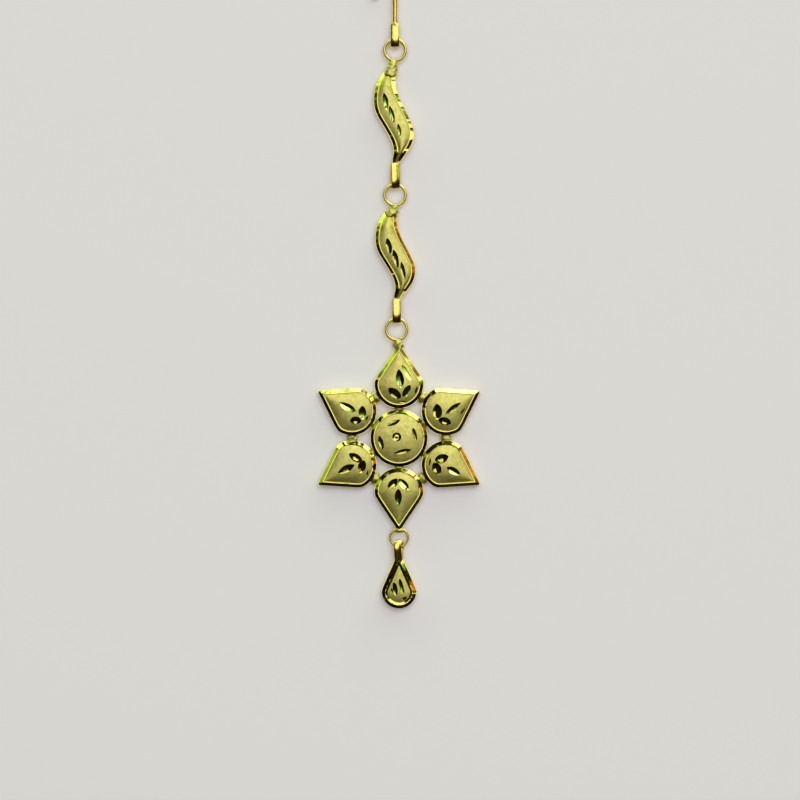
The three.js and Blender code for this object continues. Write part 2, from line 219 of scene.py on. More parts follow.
# Cuts in the faces: x, y, length, width, lean, keel. Places and sizes are shares of the face's own
# radius from its middle, with a petal's tip towards +y. Lean is in degrees, positive to the left, and
# keel says how far the bottom of the V lies to the right of its middle, from -1 to 1.
# Each petal has its own row of cuts, clockwise from the top.
PETAL_CUTS = [
    [
        (0.04, 0.22, 0.80, 0.34, 9, 0.05),
        (0.33, 0.41, 0.84, 0.21, 32, 0.7),
        (-0.17, -0.40, 0.68, 0.36, 52, -0.45),
        (0.31, -0.32, 0.62, 0.29, -30, 0.2),
        (0.70, -0.29, 0.36, 0.12, -12, 0),
        (0.14, -0.74, 0.42, 0.09, 86, -0.6),
    ],
    [
        (0.05, 0.31, 0.84, 0.22, 8, 0.3),
        (-0.15, -0.33, 0.66, 0.40, 62, -0.4),
        (0.34, -0.26, 0.56, 0.33, -44, 0.7),
        (0.34, 0.59, 0.32, 0.09, 20, 0),
    ],
    [
        (0.05, 0.38, 0.66, 0.28, 2, 0.2),
        (-0.14, -0.31, 0.62, 0.40, 48, 0.75),
        (0.31, -0.26, 0.56, 0.37, -36, 0.75),
        (0.21, -0.64, 0.36, 0.09, -67, 0),
    ],
    [
        (0.03, 0.21, 0.72, 0.30, 0, 0),
        (0.26, -0.36, 0.58, 0.36, -42, -0.7),
        (-0.18, -0.35, 0.64, 0.33, 43, 0),
    ],
    [
        (-0.01, 0.29, 0.78, 0.30, -4, -0.5),
        (0.19, -0.30, 0.66, 0.35, -62, -0.7),
        (-0.26, -0.34, 0.56, 0.37, 42, 0.1),
        (-0.60, -0.38, 0.24, 0.09, 52, 0),
    ],
    [
        (0.04, 0.25, 0.82, 0.31, 2, 0),
        (-0.26, -0.33, 0.48, 0.33, 31, -0.75),
        (0.15, -0.42, 0.58, 0.35, -58, 0.1),
        (0.06, -0.68, 0.26, 0.09, 90, 0),
    ],
]
DISC_CUTS = [
    (-0.18, 0.53, 0.53, 0.16, -66, -0.5),
    (0.55, 0.13, 0.50, 0.17, 15, -0.2),
    (0.13, -0.47, 0.66, 0.16, -76, 0.8),
    (-0.63, -0.16, 0.51, 0.18, 15, -0.5),
]
DISC_BALL = (-0.08, 0.04)
DROP_CUTS = [
    (-0.22, 0.13, 0.78, 0.27, 9, -0.9),
    (0.14, 0.28, 0.90, 0.23, 13, -0.9),
    (-0.40, 0.03, 0.32, 0.12, 8, -0.9),
    (0.30, -0.42, 0.34, 0.19, -70, -0.2),
]

# How a cut's width and depth fall off towards its ends: the lower, the blunter
POINTED_ENDS = 0.75
BLUNT_ENDS = 0.4

# Cuts in a wave: across and width are shares of its width, along and length of its length
LOWER_CUTS = [
    (0.338, 0.599, 0.180, 0.150, 12, -0.5),
    (0.51, 0.462, 0.206, 0.140, 14, -0.5),
    (0.694, 0.33, 0.206, 0.110, 12, -0.4),
]
UPPER_CUTS = [
    (0.29, 0.665, 0.180, 0.150, 10, 0.2),
    (0.448, 0.524, 0.192, 0.130, 14, 0.2),
    (0.633, 0.361, 0.140, 0.100, 10, 0.2),
]

# Where a wave's edges lie: share of its length from the bottom tip, then left and right edges as
# shares of its width
WAVE_STATIONS = [
    (0.00, 0.480, 0.570),
    (0.06, 0.465, 0.700),
    (0.13, 0.495, 0.820),
    (0.21, 0.475, 0.940),
    (0.30, 0.390, 1.000),
    (0.39, 0.270, 0.985),
    (0.48, 0.140, 0.900),
    (0.56, 0.045, 0.810),
    (0.65, 0.000, 0.700),
    (0.74, 0.005, 0.610),
    (0.83, 0.045, 0.550),
    (0.91, 0.125, 0.540),
    (1.00, 0.290, 0.560),
]

# Where the bottom tip and the top of a wave lie, as shares of its width
WAVE_TIP = 0.53
WAVE_TOP = 0.44

# How much lower a wave is at its ends, and how long its two tapers are, as shares of its length
WAVE_TAPER = 0.4
WAVE_TIP_TAPER = 0.13
WAVE_TOP_TAPER = 0.17

# Corners along a teardrop's side, its round end and the disc, and the round end's places
SIDE_STEPS = 12
ROUND_STEPS = 60
DISC_STEPS = 96
TEARDROP_ROUND = range(SIDE_STEPS + 1, SIDE_STEPS + ROUND_STEPS + 2)

# Rings of a domed face as shares of its size, and the power by which it falls away from its middle
DOME_RINGS = [0.985, 0.95, 0.9, 0.83, 0.74, 0.64, 0.53, 0.42, 0.31, 0.2, 0.1, 0.03]
DOME_POWER = 2.3

# The room's colours: where each one stands on a ramp that runs over a direction's part from -1 to 1
FAR_WALL = [
    (0.0, (0.010, 0.008, 0.004)),
    (0.40, (0.012, 0.010, 0.005)),
    (0.55, (0.16, 0.12, 0.04)),
    (0.74, (0.50, 0.48, 0.30)),
    (0.88, (1.9, 1.9, 1.7)),
    (1.0, (2.6, 2.6, 2.4)),
]
SIDE_WALLS = [
    (0.0, (0.45, 0.85, 0.12)),
    (0.3, (0.60, 0.95, 0.30)),
    (0.46, (0.62, 1.0, 0.45)),
    (0.52, (1.0, 1.0, 1.0)),
    (0.8, (1.2, 1.2, 1.1)),
    (0.895, (1.0, 1.15, 0.7)),
    (0.92, (1.5, 0.85, 0.25)),
]
WINDOW = [
    (0.0, (0.010, 0.008, 0.002)),
    (0.76, (0.015, 0.012, 0.004)),
    (0.83, (0.14, 0.30, 0.06)),
    (0.87, (0.8, 1.3, 0.5)),
    (0.91, (2.2, 2.3, 2.0)),
]
WINDOW_WAY = (0.64, 0.77, 0)
WALL_TOP = 0.46
WINDOW_FOOT = 0.50
SPOTS = [(0.71, (0.25, 0.25, 0.25)), (0.78, (1.6, 1.6, 1.6))]
BEAM = [
    (0.0, (1, 1, 1)),
    (0.700, (1, 1, 1)),
    (0.715, (0.01, 0.01, 0.01)),
    (0.755, (0.01, 0.01, 0.01)),
    (0.775, (1, 1, 1)),
]


# Materials


def shader(name, base, roughness):
    """A metal, the nodes and links of its tree, and its principled shader."""
    material = bpy.data.materials.new(name)
    material.use_nodes = True
    nodes = material.node_tree.nodes
    principled = nodes["Principled BSDF"]
    principled.inputs["Base Color"].default_value = (*base, 1)
    principled.inputs["Metallic"].default_value = 1
    principled.inputs["Roughness"].default_value = roughness
    return material, nodes, material.node_tree.links, principled


def noise_node(nodes, links, size, detail=2.0, stretch=(1, 1, 1)):
    """Noise on object coordinates whose blotches are about size across."""
    place = nodes.new("ShaderNodeTexCoord")
    mapping = nodes.new("ShaderNodeMapping")
    mapping.inputs["Scale"].default_value = stretch
    texture = nodes.new("ShaderNodeTexNoise")
    texture.inputs["Scale"].default_value = 1 / size
    texture.inputs["Detail"].default_value = detail
    links.new(place.outputs["Object"], mapping.inputs["Vector"])
    links.new(mapping.outputs["Vector"], texture.inputs["Vector"])
    return texture


def add_bump(nodes, links, principled, texture, strength, distance):
    bump = nodes.new("ShaderNodeBump")
    bump.inputs["Strength"].default_value = strength
    bump.inputs["Distance"].default_value = distance
    links.new(texture.outputs["Fac"], bump.inputs["Height"])
    links.new(bump.outputs["Normal"], principled.inputs["Normal"])


def vary(nodes, links, texture, target, low, high):
    """Drives a socket between two colours by the middle part of a texture's range."""
    ramp = nodes.new("ShaderNodeValToRGB")
    for element, position, tone in zip(ramp.color_ramp.elements, (0.3, 0.7), (low, high)):
        element.position = position
        element.color = tone
    links.new(texture.outputs["Fac"], ramp.inputs["Fac"])
    links.new(ramp.outputs["Color"], target)


def scaled(colour_value, factor):
    return (*(min(1, channel * factor) for channel in colour_value), 1)


def grey(value):
    return (value, value, value, 1)


def satin_gold(finish):
    """Sand-blasted gold: fine grain over broad, faint clouds."""
    material, nodes, links, principled = shader("matte_gold", finish.satin, finish.satin_roughness)
    clouds = noise_node(nodes, links, 0.5 * MM, 6)
    clouds.inputs["Roughness"].default_value = 0.75
    base = principled.inputs["Base Color"]
    vary(nodes, links, clouds, base, scaled(finish.satin, 0.72), scaled(finish.satin, 1.2))
    grain = noise_node(nodes, links, finish.grain, 2)
    add_bump(nodes, links, principled, grain, 0.3, 0.02 * MM)
    rough = finish.satin_roughness
    speckle = noise_node(nodes, links, 0.4 * MM, 2)
    low, high = grey(rough - 0.05), grey(rough + 0.06)
    vary(nodes, links, speckle, principled.inputs["Roughness"], low, high)
    return material


def waving_gold(name, gold, rough):
    """Gold whose surface waves a little, as hand-finished metal does."""
    material, nodes, links, principled = shader(name, gold, rough)
    tint = noise_node(nodes, links, 0.9 * MM, 1)
    vary(nodes, links, tint, principled.inputs["Base Color"], scaled(gold, 0.9), scaled(gold, 1.05))
    waves = noise_node(nodes, links, 0.45 * MM, 2)
    add_bump(nodes, links, principled, waves, 0.5, 0.025 * MM)
    return material


def polished_gold(finish):
    """Polished rims."""
    return waving_gold("bright_gold", finish.polished, finish.polished_roughness)


def drawn_gold(finish):
    """Wire and strip, less bright than the rims and a little warmer."""
    return waving_gold("drawn_gold", finish.drawn, finish.drawn_roughness)


def cut_gold(finish):
    """Diamond cuts: mirror facets with the fine parallel lines that the tool leaves."""
    material, nodes, links, principled = shader("cut_gold", finish.cut, finish.cut_roughness)
    tint = noise_node(nodes, links, 0.6 * MM, 1)
    base = principled.inputs["Base Color"]
    vary(nodes, links, tint, base, scaled(finish.cut, 0.85), scaled(finish.cut, 1.05))
    lines = noise_node(nodes, links, 0.25 * MM, 2, (1, 0.35, 1))
    add_bump(nodes, links, principled, lines, 0.6, 0.03 * MM)
    return material


def materials():
    """The golds, made once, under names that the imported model's own materials don't have."""
    finish = bpy.context.scene.tikka_finish
    makers = {
        "matte_gold": satin_gold,
        "bright_gold": polished_gold,
        "cut_gold": cut_gold,
        "drawn_gold": drawn_gold,
    }
    return [bpy.data.materials.get(name) or make(finish) for name, make in makers.items()]


# Mesh helpers


def new_object(name, bm):
    """An object at the origin with the mesh of a bmesh, which is freed."""
    mesh = bpy.data.meshes.new(name)
    bm.to_mesh(mesh)
    bm.free()
    for material in materials():
        mesh.materials.append(material)
    piece = bpy.data.objects.new(name, mesh)
    bpy.context.scene.collection.objects.link(piece)
    return piece


def in_gold(bm, material):
    """Gives all of a bmesh one of the golds."""
    for face in bm.faces:
        face.material_index = material


def finish_piece(piece, node, sharp_degrees):
    """Smooth shading with crisp edges, puts the piece on its body and hides its CAD node."""
    piece.data.polygons.foreach_set("use_smooth", [True] * len(piece.data.polygons))
    piece.data.set_sharp_from_angle(angle=math.radians(sharp_degrees))
    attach(piece, "root")
    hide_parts(node)


def carve(piece, cutters):
    """Cuts every cutter, each a bmesh, out of a piece and applies the cut."""
    tool_bm = bmesh.new()
    for cutter in cutters:
        part = bpy.data.meshes.new("cut")
        cutter.to_mesh(part)
        cutter.free()
        tool_bm.from_mesh(part)
        bpy.data.meshes.remove(part)
    tool = new_object("cutters", tool_bm)
    boolean = piece.modifiers.new("cuts", "BOOLEAN")
    boolean.operation = "DIFFERENCE"
    boolean.solver = "EXACT"
    boolean.use_self = True
    boolean.object = tool
    graph = bpy.context.evaluated_depsgraph_get()
    carved = bpy.data.meshes.new_from_object(piece.evaluated_get(graph))
    piece.modifiers.clear()
    old = piece.data
    carved.name = old.name
    piece.data = carved
    bpy.data.meshes.remove(old)
    bpy.data.objects.remove(tool)


def extrude_ring(bm, top, ring, points, material):
    """Extrudes the top face, moves its new corners onto points and gives the new wall a material."""
    first = len(bm.faces) == 1
    made = bmesh.ops.extrude_face_region(bm, geom=[top])["geom"]
    corners = {tuple(v.co): v for v in made if isinstance(v, bmesh.types.BMVert)}
    new_top = next(f for f in made if isinstance(f, bmesh.types.BMFace))
    if not first:
        bm.faces.remove(top)
    new_ring = [corners[tuple(v.co)] for v in ring]
    for vert, point in zip(new_ring, points):
        vert.co = point
        for face in vert.link_faces:
            if face is not new_top:
                face.material_index = material
    return new_top, new_ring


def lens_cutter(x, y, surface, long, wide, lean, keel, ends=POINTED_ENDS):
    """A lens with a V keel, sunk into a surface of that height and leaning left."""
    steps = 14
    slope = math.radians(27)
    narrowest = 0.05
    clearance = 1.2 * MM
    depth = math.tan(slope) * wide / 2 * (1 + abs(keel))
    bm = bmesh.new()
    bmesh.ops.create_grid(bm, x_segments=2, y_segments=steps, size=1)
    for vert in bm.verts:
        across, along = vert.co.x, vert.co.y
        fullness = max(narrowest, (1 - along * along) ** ends)
        in_keel = abs(across) < 0.5
        side = keel if in_keel else across
        fall = -depth * fullness if in_keel else 0
        vert.co = Vector((side * wide / 2 * fullness, along * long / 2, fall))
    made = bmesh.ops.extrude_face_region(bm, geom=list(bm.faces))["geom"]
    for vert in (v for v in made if isinstance(v, bmesh.types.BMVert)):
        vert.co.z = clearance
    bmesh.ops.recalc_face_normals(bm, faces=bm.faces)
    in_gold(bm, CUT)
    place = Matrix.Translation((x, y, surface)) @ Matrix.Rotation(math.radians(lean), 4, "Z")
    bmesh.ops.transform(bm, matrix=place, verts=bm.verts)
    return bm


def catmull(stations, along, column):
    """The value of a column of stations at a share along, on a smooth curve through them."""
    last = len(stations) - 1
    index = max(i for i in range(last) if stations[i][0] <= along or i == 0)
    before, after = stations[index], stations[index + 1]
    span = after[0] - before[0]
    t = (along - before[0]) / span

    def slope(i):
        low, high = stations[max(0, i - 1)], stations[min(last, i + 1)]
        return (high[column] - low[column]) / (high[0] - low[0])

    start, end = before[column], after[column]
    out_of, into = slope(index) * span, slope(index + 1) * span
    return (
        (2 * t**3 - 3 * t**2 + 1) * start
        + (t**3 - 2 * t**2 + t) * out_of
        + (3 * t**2 - 2 * t**3) * end
        + (t**3 - t**2) * into
    )


# Plates with a rim and a domed face


def rim_profile(rim, slope_width):
    """Steps of the rim as (inset, height, material of the wall that leads there, unevenness)."""
    bevel_end = rim.flange_width + rim.bevel_width
    crest_end = bevel_end + rim.crest_width
    floor = rim.rim_height - rim.groove_depth
    return [
        (0, rim.flange_thickness, POLISHED, 0),
        (rim.flange_width, rim.flange_thickness, POLISHED, 0),
        (rim.flange_width, rim.wall_height, POLISHED, 1),
        (bevel_end, rim.rim_height, POLISHED, 0.25),
        (crest_end, rim.rim_height, POLISHED, 0.15),
        (crest_end + slope_width, floor, POLISHED, 0),
    ]


def softened(points, times, kept=()):
    """A ring whose corners are rounded by averaging neighbours, except at the kept places."""
    for _ in range(times):
        before, after = points[-1:] + points[:-1], points[1:] + points[:1]
        rounded = [(a + 2 * b + c) / 4 for a, b, c in zip(before, points, after)]
        for index in kept:
            rounded[index] = points[index]
        points = rounded
    return points


def teardrop_outline(radius, reach, tip_width, shoulder, inset):
    """A teardrop drawn in by inset, anticlockwise from the middle of its blunt tip at +y."""
    tip = Vector((tip_width / 2, reach))
    corner = Vector((math.cos(shoulder), math.sin(shoulder))) * radius
    along = (corner - tip).normalized()
    outward = Vector((-along.y, along.x))
    side_distance = tip.dot(outward) - inset
    inner = radius - inset
    start = math.atan2(outward.y, outward.x) - math.acos(min(1, side_distance / inner))
    tip_y = reach - inset
    tip_x = (side_distance - tip_y * outward.y) / outward.x
    narrowest = 0.004 * MM
    if tip_x < narrowest:
        tip_x = narrowest
        tip_y = (side_distance - tip_x * outward.x) / outward.y
    tip = Vector((tip_x, tip_y))
    end = Vector((math.cos(start), math.sin(start))) * inner
    right = [tip.lerp(end, i / SIDE_STEPS) for i in range(SIDE_STEPS)]
    left = [Vector((-p.x, p.y)) for p in right]
    turn = math.pi + 2 * start
    round_end = []
    for i in range(ROUND_STEPS + 1):
        a = math.pi - start + turn * i / ROUND_STEPS
        round_end.append(Vector((math.cos(a), math.sin(a))) * inner)
    ring = [Vector((0, tip_y)), *left, *round_end, *reversed(right)]
    rounding = 4
    tip_places = (0, 1, -1)
    return softened(ring, rounding, tip_places)


def circle_outline(radius, inset):
    """A circle drawn in by inset, anticlockwise from +y."""
    inner = radius - inset
    turns = [math.pi / 2 + 2 * math.pi * i / DISC_STEPS for i in range(DISC_STEPS)]
    return [Vector((math.cos(a), math.sin(a))) * inner for a in turns]


def facet_strays(count, unevenness, seed):
    """How far each corner of the outline strays, alike within a facet of two or three corners."""
    rng = random.Random(seed)
    strays = []
    while len(strays) < count:
        stray = rng.uniform(-1, 1) * unevenness
        strays += [stray] * rng.choice((2, 3, 3, 4))
    return strays[:count]


def domed_plate(outline, round_part, rim, slope_width, rise, seed):
    """A plate on z = 0: its outline drawn in step by step up the rim, then a domed face."""
    start = outline(0)
    bm = bmesh.new()
    bmesh.ops.create_circle(bm, cap_ends=True, segments=len(start), radius=1)
    ring = list(bm.verts)
    for vert, point in zip(ring, start):
        vert.co = (*point, 0)
    top = next(iter(bm.faces))
    top.material_index = POLISHED
    strays = facet_strays(len(start), rim.unevenness, seed)
    side_share = 0.4
    strays = [
        stray + rim.round_lift if i in round_part else side_share * stray
        for i, stray in enumerate(strays)
    ]
    rounding = 80
    steps = rim_profile(rim, slope_width)
    for inset, height, material, uneven in steps:
        heights = [height + uneven * stray for stray in strays]
        points = [Vector((*p, h)) for p, h in zip(outline(inset), heights)]
        top, ring = extrude_ring(bm, top, ring, points, material)
    edge, floor = steps[-1][0], steps[-1][1]
    for part in DOME_RINGS:
        height = floor + rise * (1 - part**DOME_POWER)
        drawn_in = softened(outline(edge), round(rounding * (1 - part)))
        points = [Vector((*(p * part), height)) for p in drawn_in]
        top, ring = extrude_ring(bm, top, ring, points, SATIN)
    top.material_index = SATIN
    bmesh.ops.recalc_face_normals(bm, faces=bm.faces)
    return bm


def face_height(x, y, radius, rim, slope_width, rise):
    """The height of a domed face at a place in its round part."""
    edge = rim_profile(rim, slope_width)[-1]
    part = min(1, math.hypot(x, y) / (radius - edge[0]))
    return edge[1] + rise * (1 - part**DOME_POWER)


def face_cutters(cuts, radius, rim, slope_width, rise, ends=POINTED_ENDS):
    """Cutters for cuts listed as shares of a face's radius."""
    cutters = []
    for x, y, long, wide, lean, keel in cuts:
        surface = face_height(x * radius, y * radius, radius, rim, slope_width, rise)
        sizes = (surface, long * radius, wide * radius, lean, keel)
        cutters.append(lens_cutter(x * radius, y * radius, *sizes, ends))
    return cutters


def place_bmesh(bm, x, y, turn=0.0):
    """Turns a bmesh about +Z and moves it."""
    matrix = Matrix.Translation((x, y, 0)) @ Matrix.Rotation(turn, 4, "Z")
    bmesh.ops.transform(bm, matrix=matrix, verts=bm.verts)


# Rings, solder and strip


def wire_ring(radius, wire, x, y, level, seed):
    """A jump ring: a round section spun about +Z and bent a little by hand."""
    section_steps, ring_steps = 14, 72
    bm = bmesh.new()
    made = bmesh.ops.create_circle(bm, segments=section_steps, radius=wire)["verts"]
    upright = Matrix.Rotation(math.pi / 2, 4, "X")
    bmesh.ops.transform(bm, matrix=Matrix.Translation((radius, 0, 0)) @ upright, verts=made)
    bmesh.ops.spin(
        bm,
        geom=list(bm.verts) + list(bm.edges),
        axis=UP,
        cent=(0, 0, 0),
        angle=2 * math.pi,
        steps=ring_steps,
        use_merge=True,
    )
    bend, bend_spread = 0.03 * MM, 1.3
    for vert in bm.verts:
        around = math.atan2(vert.co.y, vert.co.x)
        sway = noise.noise(Vector((math.cos(around), math.sin(around), seed)) * bend_spread)
        flat = vert.co.to_2d().normalized() * (bend * sway)
        vert.co += Vector((*flat, 0))
    bmesh.ops.translate(bm, vec=(x, y, level), verts=bm.verts)
    bmesh.ops.recalc_face_normals(bm, faces=bm.faces)
    return bm


def lengthen(bm, end, way):
    """Extrudes a wire's end face along way in equal steps and returns its new end."""
    steps = 4
    for _ in range(steps):
        first = len(bm.faces) == 1
        made = bmesh.ops.extrude_face_region(bm, geom=[end])["geom"]
        if not first:
            bm.faces.remove(end)
        end = next(g for g in made if isinstance(g, bmesh.types.BMFace))
        bmesh.ops.translate(bm, vec=Vector(way) / steps, verts=end.verts)
    return end


def blob(bm, place, size, seed, roughen=0.12, turn=0.0):
    """Adds a lumpy ball of solder to a bmesh."""
    lumpiness = 1.6
    made = bmesh.ops.create_icosphere(bm, subdivisions=4, radius=1)["verts"]
    for vert in made:
        lump = 1 + roughen * noise.noise(vert.co * lumpiness + Vector((seed, 0, 0)))
        vert.co = Vector((vert.co.x * size[0], vert.co.y * size[1], vert.co.z * size[2])) * lump
    bmesh.ops.rotate(bm, matrix=Matrix.Rotation(turn, 3, "Z"), verts=made)
    bmesh.ops.translate(bm, vec=place, verts=made)


def melt(piece, material):
    """Runs a piece's lumps of solder together into one smooth surface of one gold."""
    piece.data.materials.clear()
    piece.data.materials.append(materials()[material])
    remesh = piece.modifiers.new("one surface", "REMESH")
    remesh.mode = "VOXEL"
    remesh.voxel_size = 0.05 * MM
    remesh.use_smooth_shade = True
    smooth = piece.modifiers.new("melted", "SMOOTH")
    smooth.factor = 0.5
    smooth.iterations = 12


def bail_path(outer, far, narrow):
    """The middle line of a bail's strip, from its soldered end over the round end and back."""
    arc_steps, leg_steps = 24, 6
    arc_length = 1.1 * MM
    arc_middle = arc_length - outer
    turn_in = Vector((arc_middle, outer))
    turn_out = Vector((arc_middle, -outer))
    points = [Vector((far, narrow)).lerp(turn_in, i / leg_steps) for i in range(leg_steps)]
    for i in range(arc_steps + 1):
        angle = math.pi / 2 + math.pi * i / arc_steps
        points.append(Vector((arc_middle + arc_length * math.cos(angle), outer * math.sin(angle))))
    for i in range(1, leg_steps + 1):
        points.append(turn_out.lerp(Vector((far, -narrow)), i / leg_steps))
    return points


def bail(sizes, x, y, wire, width, reach, slack, twist, skew, side):
    """A flat strip bent round a ring's wire, with its legs running by reach up or down the jewel.

    Side is +1 for up. The strip is twisted by degrees, and skew sets its front leg beside its back.
    """
    half = sizes.strip_thickness / 2
    middle = wire + sizes.bail_clearance + half
    path = bail_path(middle, slack + reach, sizes.bail_narrow / 2 - half)
    across = 6
    crown = 0.09 * MM
    bm = bmesh.new()
    bmesh.ops.create_grid(bm, x_segments=across, y_segments=len(path) - 1, size=1)
    for vert in bm.verts:
        row = round((vert.co.y + 1) / 2 * (len(path) - 1))
        point = path[row]
        before, after = path[max(0, row - 1)], path[min(len(path) - 1, row + 1)]
        tangent = (after - before).normalized()
        outward = Vector((tangent.y, -tangent.x))
        outward = -outward if outward.dot(Vector((point.x - slack, point.y))) < 0 else outward
        away = Vector((point.x, point.y)) - outward * crown * vert.co.x**2
        vert.co = Vector((vert.co.x * width / 2, side * (away.x - slack), away.y))
    apart = Matrix.Shear("XY", 4, (skew, 0))
    turn = Matrix.Rotation(math.radians(twist), 4, "Y")
    place = Matrix.Translation((x, y, sizes.level)) @ apart @ turn
    bmesh.ops.transform(bm, matrix=place, verts=bm.verts)
    bmesh.ops.recalc_face_normals(bm, faces=bm.faces)
    return bm


def thicken(piece, thickness):
    """Gives a strip its thickness and softly rounded edges."""
    solidify = piece.modifiers.new("thickness", "SOLIDIFY")
    solidify.thickness = thickness
    solidify.offset = 0
    rounding = 0.3
    bevel = piece.modifiers.new("rounded edges", "BEVEL")
    bevel.width = rounding * thickness
    bevel.segments = 3
    bevel.limit_method = "ANGLE"
    bevel.angle_limit = math.radians(50)


# Wave plates


def wave_section(left, right, taper, rim, rise, right_lift):
    """Heights and places across a wave, whose right wall is right_lift higher than its left."""
    profile = rim_profile(rim, rim.groove_width)
    edge = profile[-1][0]
    half = (right - left) / 2
    widest_rim = 0.8
    squeeze = min(1, widest_rim * half / edge)
    lift = 1 - WAVE_TAPER * (1 - taper)
    side = [(0.0, 0.0, POLISHED, 0)]
    side += [(i * squeeze, h * lift, m, u) for i, h, m, u in profile]
    floor = profile[-1][1]
    for part in (0.12, 0.3, 0.5, 0.75, 1):
        inset = edge * squeeze * (1 - part) + half * part
        height = floor + rise * squeeze * math.sin(part * math.pi / 2)
        side.append((inset, height * lift, SATIN, 0))
    leftwards = [(left + i, h, m, u) for i, h, m, u in side]
    rightwards = [(right - i, h + right_lift * (u == 1), m, u) for i, h, m, u in side[:-1]]
    return leftwards + rightwards[::-1]


def wave_plate(long, width, tip_x, tip_y, rim, right_lift, seed):
    """A wave plate: a grid laid over its stations, with a flat back and closed ends."""
    rows = 90
    origin_x = tip_x - WAVE_TIP * width
    columns = len(wave_section(0, width, 1, rim, rim.link_dome_rise, 0))
    bm = bmesh.new()
    bmesh.ops.create_grid(bm, x_segments=columns - 1, y_segments=rows, size=1)
    strays = [facet_strays(rows + 1, rim.unevenness, seed + side) for side in (0, 1)]
    indices = {}
    for vert in bm.verts:
        column = round((vert.co.x + 1) / 2 * (columns - 1))
        row = round((vert.co.y + 1) / 2 * rows)
        indices[vert] = (row, column)
    sections = []
    for row in range(rows + 1):
        along = row / rows
        left = origin_x + width * catmull(WAVE_STATIONS, along, 1)
        right = origin_x + width * catmull(WAVE_STATIONS, along, 2)
        taper = min(1, along / WAVE_TIP_TAPER, (1 - along) / WAVE_TOP_TAPER)
        section = wave_section(left, right, taper, rim, rim.link_dome_rise, right_lift * taper)
        sections.append(section)
    for vert, (row, column) in indices.items():
        place, height, _, uneven = sections[row][column]
        stray = strays[0 if column < columns / 2 else 1][row]
        vert.co = Vector((place, tip_y + long * row / rows, height + uneven * stray))
    middle = columns // 2
    for face in bm.faces:
        column = min(indices[v][1] for v in face.verts)
        outer = column + 1 if column < middle else column
        face.material_index = sections[0][outer][2]
    feet = [
        edge
        for edge in bm.edges
        if edge.is_boundary and all(indices[v][1] in (0, columns - 1) for v in edge.verts)
    ]
    back = bmesh.ops.bridge_loops(bm, edges=feet)["faces"]
    ends = bmesh.ops.holes_fill(bm, edges=[e for e in bm.edges if e.is_boundary])["faces"]
    for face in back + ends:
        face.material_index = POLISHED
    bmesh.ops.recalc_face_normals(bm, faces=bm.faces)
    return bm


def wave_cutters(cuts, long, width, tip_x, tip_y, rim):
    """Cutters for a wave's cuts, which are listed as shares of its length and width."""
    origin_x = tip_x - WAVE_TIP * width
    rise_at_cuts = 0.9 * rim.link_dome_rise
    surface = rim.rim_height - rim.groove_depth + rise_at_cuts
    cutters = []
    for across, along, cut_long, cut_wide, lean, keel in cuts:
        place = (origin_x + across * width, tip_y + along * long, surface)
        cutters.append(lens_cutter(*place, cut_long * long, cut_wide * width, lean, keel))
    return cutters


# Operators, one for each piece or group of like pieces


class TikkaPetals(Operator):
    """Six petals round the star's disc, each with its own cuts"""

    bl_idname = "tikka.petals"
    bl_label = "Petals"

    def execute(self, context):
        rim, star = context.scene.tikka_rim, context.scene.tikka_star
        middle = star_middle()
        shape = (star.petal_radius, star.petal_reach, star.petal_tip, star.petal_shoulder)
        slope = rim.groove_width
        outline = partial(teardrop_outline, *shape)
        for number in range(star.petal_count):
            bm = domed_plate(outline, TEARDROP_ROUND, rim, slope, rim.dome_rise, seed=number)
            cuts = PETAL_CUTS[number % len(PETAL_CUTS)]
            cutters = face_cutters(cuts, star.petal_radius, rim, slope, rim.dome_rise)
            turn = -2 * math.pi * number / star.petal_count
            out = Vector((0, star.petal_ring_radius))
            out.rotate(Matrix.Rotation(turn, 2))
            for part in [bm, *cutters]:
                place_bmesh(part, middle.x + out.x, middle.y + out.y, turn)
            piece = new_object(f"petal_{number + 1}", bm)
            carve(piece, cutters)
            finish_piece(piece, "star_pendant", sharp_degrees=12)
        return {"FINISHED"}


class TikkaDisc(Operator):
    """The round disc in the middle of the star, with its dimple and ball"""

    bl_idname = "tikka.disc"
    bl_label = "Disc"

    def execute(self, context):
        rim, star = context.scene.tikka_rim, context.scene.tikka_star
        middle = star_middle()
        radius = star.disc_radius
        slope, rise = rim.groove_width, rim.dome_rise
        bm = domed_plate(partial(circle_outline, radius), range(DISC_STEPS), rim, slope, rise, seed=11)
        cutters = face_cutters(DISC_CUTS, radius, rim, slope, rise)
        ball_x, ball_y = (part * radius for part in DISC_BALL)
        top = face_height(ball_x, ball_y, radius, rim, slope, rise)
        cup = bmesh.new()
        cup_depth = 0.6 * star.dimple_radius
        bmesh.ops.create_cone(
            cup,
            cap_ends=True,
            segments=40,
            radius1=0,
            radius2=2 * star.dimple_radius,
            depth=2 * cup_depth,
        )
        bmesh.ops.translate(cup, vec=(ball_x, ball_y, top), verts=cup.verts)
        in_gold(cup, CUT)
        for part in [bm, *cutters, cup]:
            place_bmesh(part, middle.x, middle.y)
        piece = new_object("star_disc", bm)
        carve(piece, [*cutters, cup])
        finish_piece(piece, "star_pendant", sharp_degrees=12)
        ball = bmesh.new()
        bmesh.ops.create_uvsphere(ball, u_segments=32, v_segments=16, radius=star.ball_radius)
        ball_above_cup = 0.55 * star.ball_radius
        place = (middle.x + ball_x, middle.y + ball_y, top - cup_depth + ball_above_cup)
        bmesh.ops.translate(ball, vec=place, verts=ball.verts)
        in_gold(ball, POLISHED)
        finish_piece(new_object("disc_ball", ball), "star_pendant", sharp_degrees=60)
        return {"FINISHED"}


